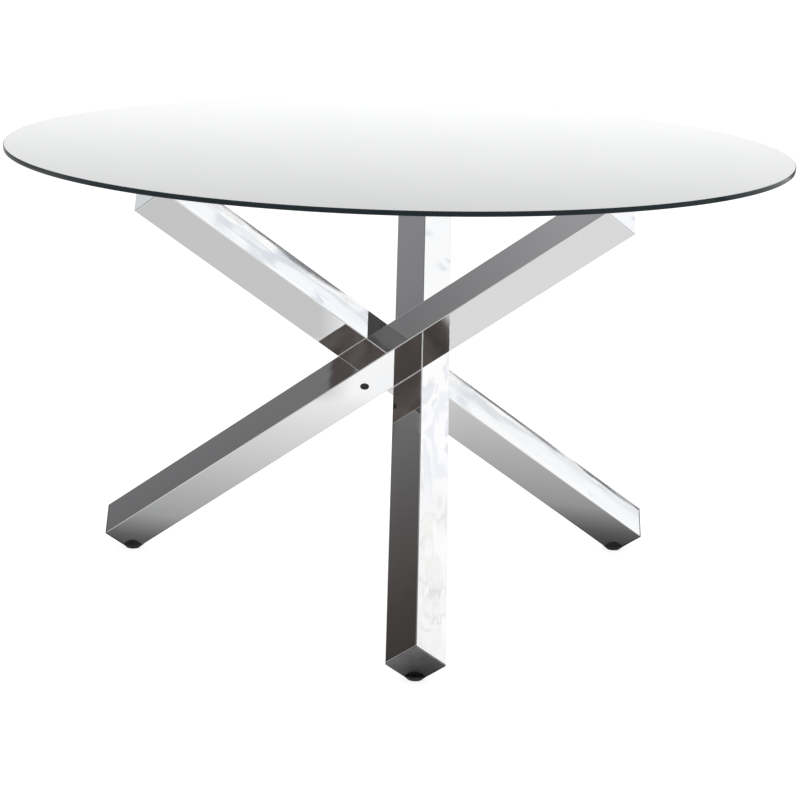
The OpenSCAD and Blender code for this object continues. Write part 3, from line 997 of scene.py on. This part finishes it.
def streak_card_material():
    """A white card at the back right, seen only in mirror faces, with painted reflection streaks: soft pale folds and
    one dark edge.
    """
    n = Nodes("stage_streak_card")
    tc = n.add("ShaderNodeTexCoord")
    sep = n.add("ShaderNodeSeparateXYZ")
    n.link(tc.outputs["Object"], sep.inputs["Vector"])
    x, z = sep.outputs["X"], sep.outputs["Z"]
    # long narrow painted reflection streaks, which the rising leg's upper face looks along
    wander = n.noise(n.coords(scale=(6.0, 1.0, 1.6)), 1.7, detail=3.0, rough=0.55)
    u = n.math("ADD", n.math("ADD", x, n.math("MULTIPLY", n.math("SUBTRACT", z, 0.90), 0.198)),
               n.math("MULTIPLY", n.math("SUBTRACT", wander, 0.5), 0.075))
    lo, hi = 1.90, 2.18
    bands = n.ramp(n.map(u, lo, hi, 0.0, 1.0), [((p - lo) / (hi - lo), c) for p, c in (
        (1.900, (0.97, 0.97, 0.97)), (1.990, (1.0, 1.0, 1.0)), (2.014, (0.99, 0.99, 0.99)), (2.018, (0.70, 0.71, 0.72)),
        (2.026, (0.78, 0.80, 0.83)), (2.031, (0.94, 0.955, 0.975)), (2.048, (0.88, 0.915, 0.95)), (2.052, (0.96, 0.97, 0.985)),
        (2.075, (0.90, 0.93, 0.96)), (2.079, (0.98, 0.985, 0.99)), (2.180, (0.95, 0.96, 0.97)))])
    # painted blue-grey patches among the reflection streaks
    patch = n.noise(n.coords(scale=(5.0, 1.0, 1.6)), 3.0, detail=3.0, rough=0.5, distortion=0.8)
    tone = n.mix(n.map(patch, 0.600, 0.622, 0.0, 0.75), bands, (0.66, 0.70, 0.76))
    # a calmer stretch of painted reflection for the front leg's right face: nearly white, with a few thin lines
    calm = n.noise(n.coords(scale=(1.0, 1.0, 4.2), rotation=(0, 0.10, 0)), 2.9, detail=2.0, rough=0.45, distortion=1.6)
    warm = n.ramp(calm, [(0.30, (0.93, 0.92, 0.90)), (0.400, (0.97, 0.96, 0.945)), (0.424, (0.78, 0.77, 0.76)),
                         (0.436, (0.90, 0.885, 0.865)), (0.500, (0.985, 0.98, 0.97)), (0.545, (0.92, 0.91, 0.895)),
                         (0.566, (0.76, 0.755, 0.75)), (0.576, (0.93, 0.92, 0.91)), (0.66, (1.0, 1.0, 1.0))])
    cool = n.ramp(calm, [(0.30, (0.86, 0.87, 0.92)), (0.420, (0.90, 0.91, 0.95)), (0.438, (0.99, 0.99, 1.0)),
                         (0.560, (1.0, 1.0, 1.0)), (0.572, (0.80, 0.81, 0.86)), (0.650, (0.88, 0.89, 0.94))])
    quiet = n.mix(smooth_step(n, x, 2.45, 2.75), cool, warm)
    stretch = box_mask(n, x, z, 1.90, 4.0, 1.345, 1.525, 0.012)
    tone = n.mix(stretch, tone, quiet)
    # painted dark reflections: a dark edge on the near side, and a thin dark line beside the folds
    u0 = n.math("ADD", x, n.math("MULTIPLY", n.math("SUBTRACT", z, 0.90), 0.198))
    painted_dark_line = n.math("MULTIPLY", smooth_step(n, u0, 1.950, 1.954), smooth_step(n, u0, 1.9970, 1.9940))
    painted_dark_line = n.math("MULTIPLY", painted_dark_line, n.math("SUBTRACT", 1.0, box_mask(n, x, z, 1.0, 4.0, 1.345, 1.53, 0.01)))
    tone = n.mix(n.math("MULTIPLY", painted_dark_line, 0.85), tone, (0.07, 0.07, 0.08))
    edge = smooth_step(n, x, 1.50, 1.44)
    tone = n.mix(edge, tone, (0.05, 0.05, 0.055))
    e = n.add("ShaderNodeEmission", {"Strength": 1.10})
    n.link(tone, e.inputs["Color"])
    fading(n, e.outputs[0], x, z, 1.25, 3.45, 0.62, 2.35, 0.35)
    return n.mat


stage_plane("streak_card", [(0.90, 1.5, 0.02), (4.2, 1.5, 0.02), (4.2, 1.5, 3.2), (0.90, 1.5, 3.2)], streak_card_material(),
            camera_ray=False, diffuse=False, shadow=False, transmission=False)


def top_card_material():
    """What the table top mirrors: a card seen only in mirror faces, with a painted reflection gradient, bright low down
    and greyer higher up.
    """
    n = Nodes("stage_back_card")
    tc = n.add("ShaderNodeTexCoord")
    sep = n.add("ShaderNodeSeparateXYZ")
    n.link(tc.outputs["Object"], sep.inputs["Vector"])
    tone = n.map(sep.outputs["Z"], 0.854, 1.095, 1.08, 0.39)
    e = n.add("ShaderNodeEmission", {"Color": (1, 1, 1, 1)})
    n.link(tone, e.inputs["Strength"])
    n.link(e.outputs[0], n.out.inputs["Surface"])
    return n.mat


stage_plane("back_card", [(-0.90, 1.5, 0.76), (0.90, 1.5, 0.76), (0.90, 1.5, 1.45), (-0.90, 1.5, 1.45)], top_card_material(),
            camera_ray=False, diffuse=False, shadow=False, transmission=False)


def flag_material(name, scale, dark, mid, light):
    """Black cloth seen only in mirror faces, unevenly lit: its uneven light is painted into its glow in patches."""
    n = Nodes(name)
    patches = n.noise(n.coords(), scale, detail=4.0, rough=0.6, distortion=0.8)
    e = n.add("ShaderNodeEmission", {"Strength": 1.0})
    n.link(n.ramp(patches, [(0.34, dark), (0.52, mid), (0.70, light)]), e.inputs["Color"])
    n.link(e.outputs[0], n.out.inputs["Surface"])
    return n.mat


# dark cards overhead and behind the camera that paint dark reflections into the chrome
stage_plane("high_flag", [(-0.9, -0.6, 3.0), (0.9, -0.6, 3.0), (0.9, 1.1, 3.0), (-0.9, 1.1, 3.0)],
            flag_material("stage_high_flag", 6.0, (0.040, 0.040, 0.040), (0.075, 0.072, 0.072), (0.15, 0.15, 0.15)),
            camera_ray=False, diffuse=False, shadow=False, transmission=False)
stage_plane("front_flag", [(-0.35, -5.2, 1.15), (0.35, -5.2, 1.15), (0.35, -5.2, 1.85), (-0.35, -5.2, 1.85)],
            flag_material("stage_front_flag", 2.0, (0.030, 0.030, 0.030), (0.045, 0.045, 0.045), (0.08, 0.08, 0.08)),
            camera_ray=False, diffuse=False, shadow=False, transmission=False)


def area_light(name, location, target, size, power):
    d = bpy.data.lights.new(name, "AREA")
    d.shape = "RECTANGLE"
    d.size, d.size_y = size
    d.energy = power
    o = bpy.data.objects.new(name, d)
    bpy.context.scene.collection.objects.link(o)
    o.location = location
    o.rotation_euler = (Vector(target) - Vector(location)).to_track_quat("-Z", "Y").to_euler()
    o.visible_camera = False
    o.visible_glossy = False
    return o


area_light("soft_top", (0.3, 0.9, 3.2), (0, 0.1, 0.7), (2.4, 1.6), 26.0)

scene = bpy.context.scene
scene.view_settings.view_transform = "Standard"
scene.view_settings.look = "None"
scene.view_settings.exposure = 0.0
scene.view_settings.gamma = 1.0
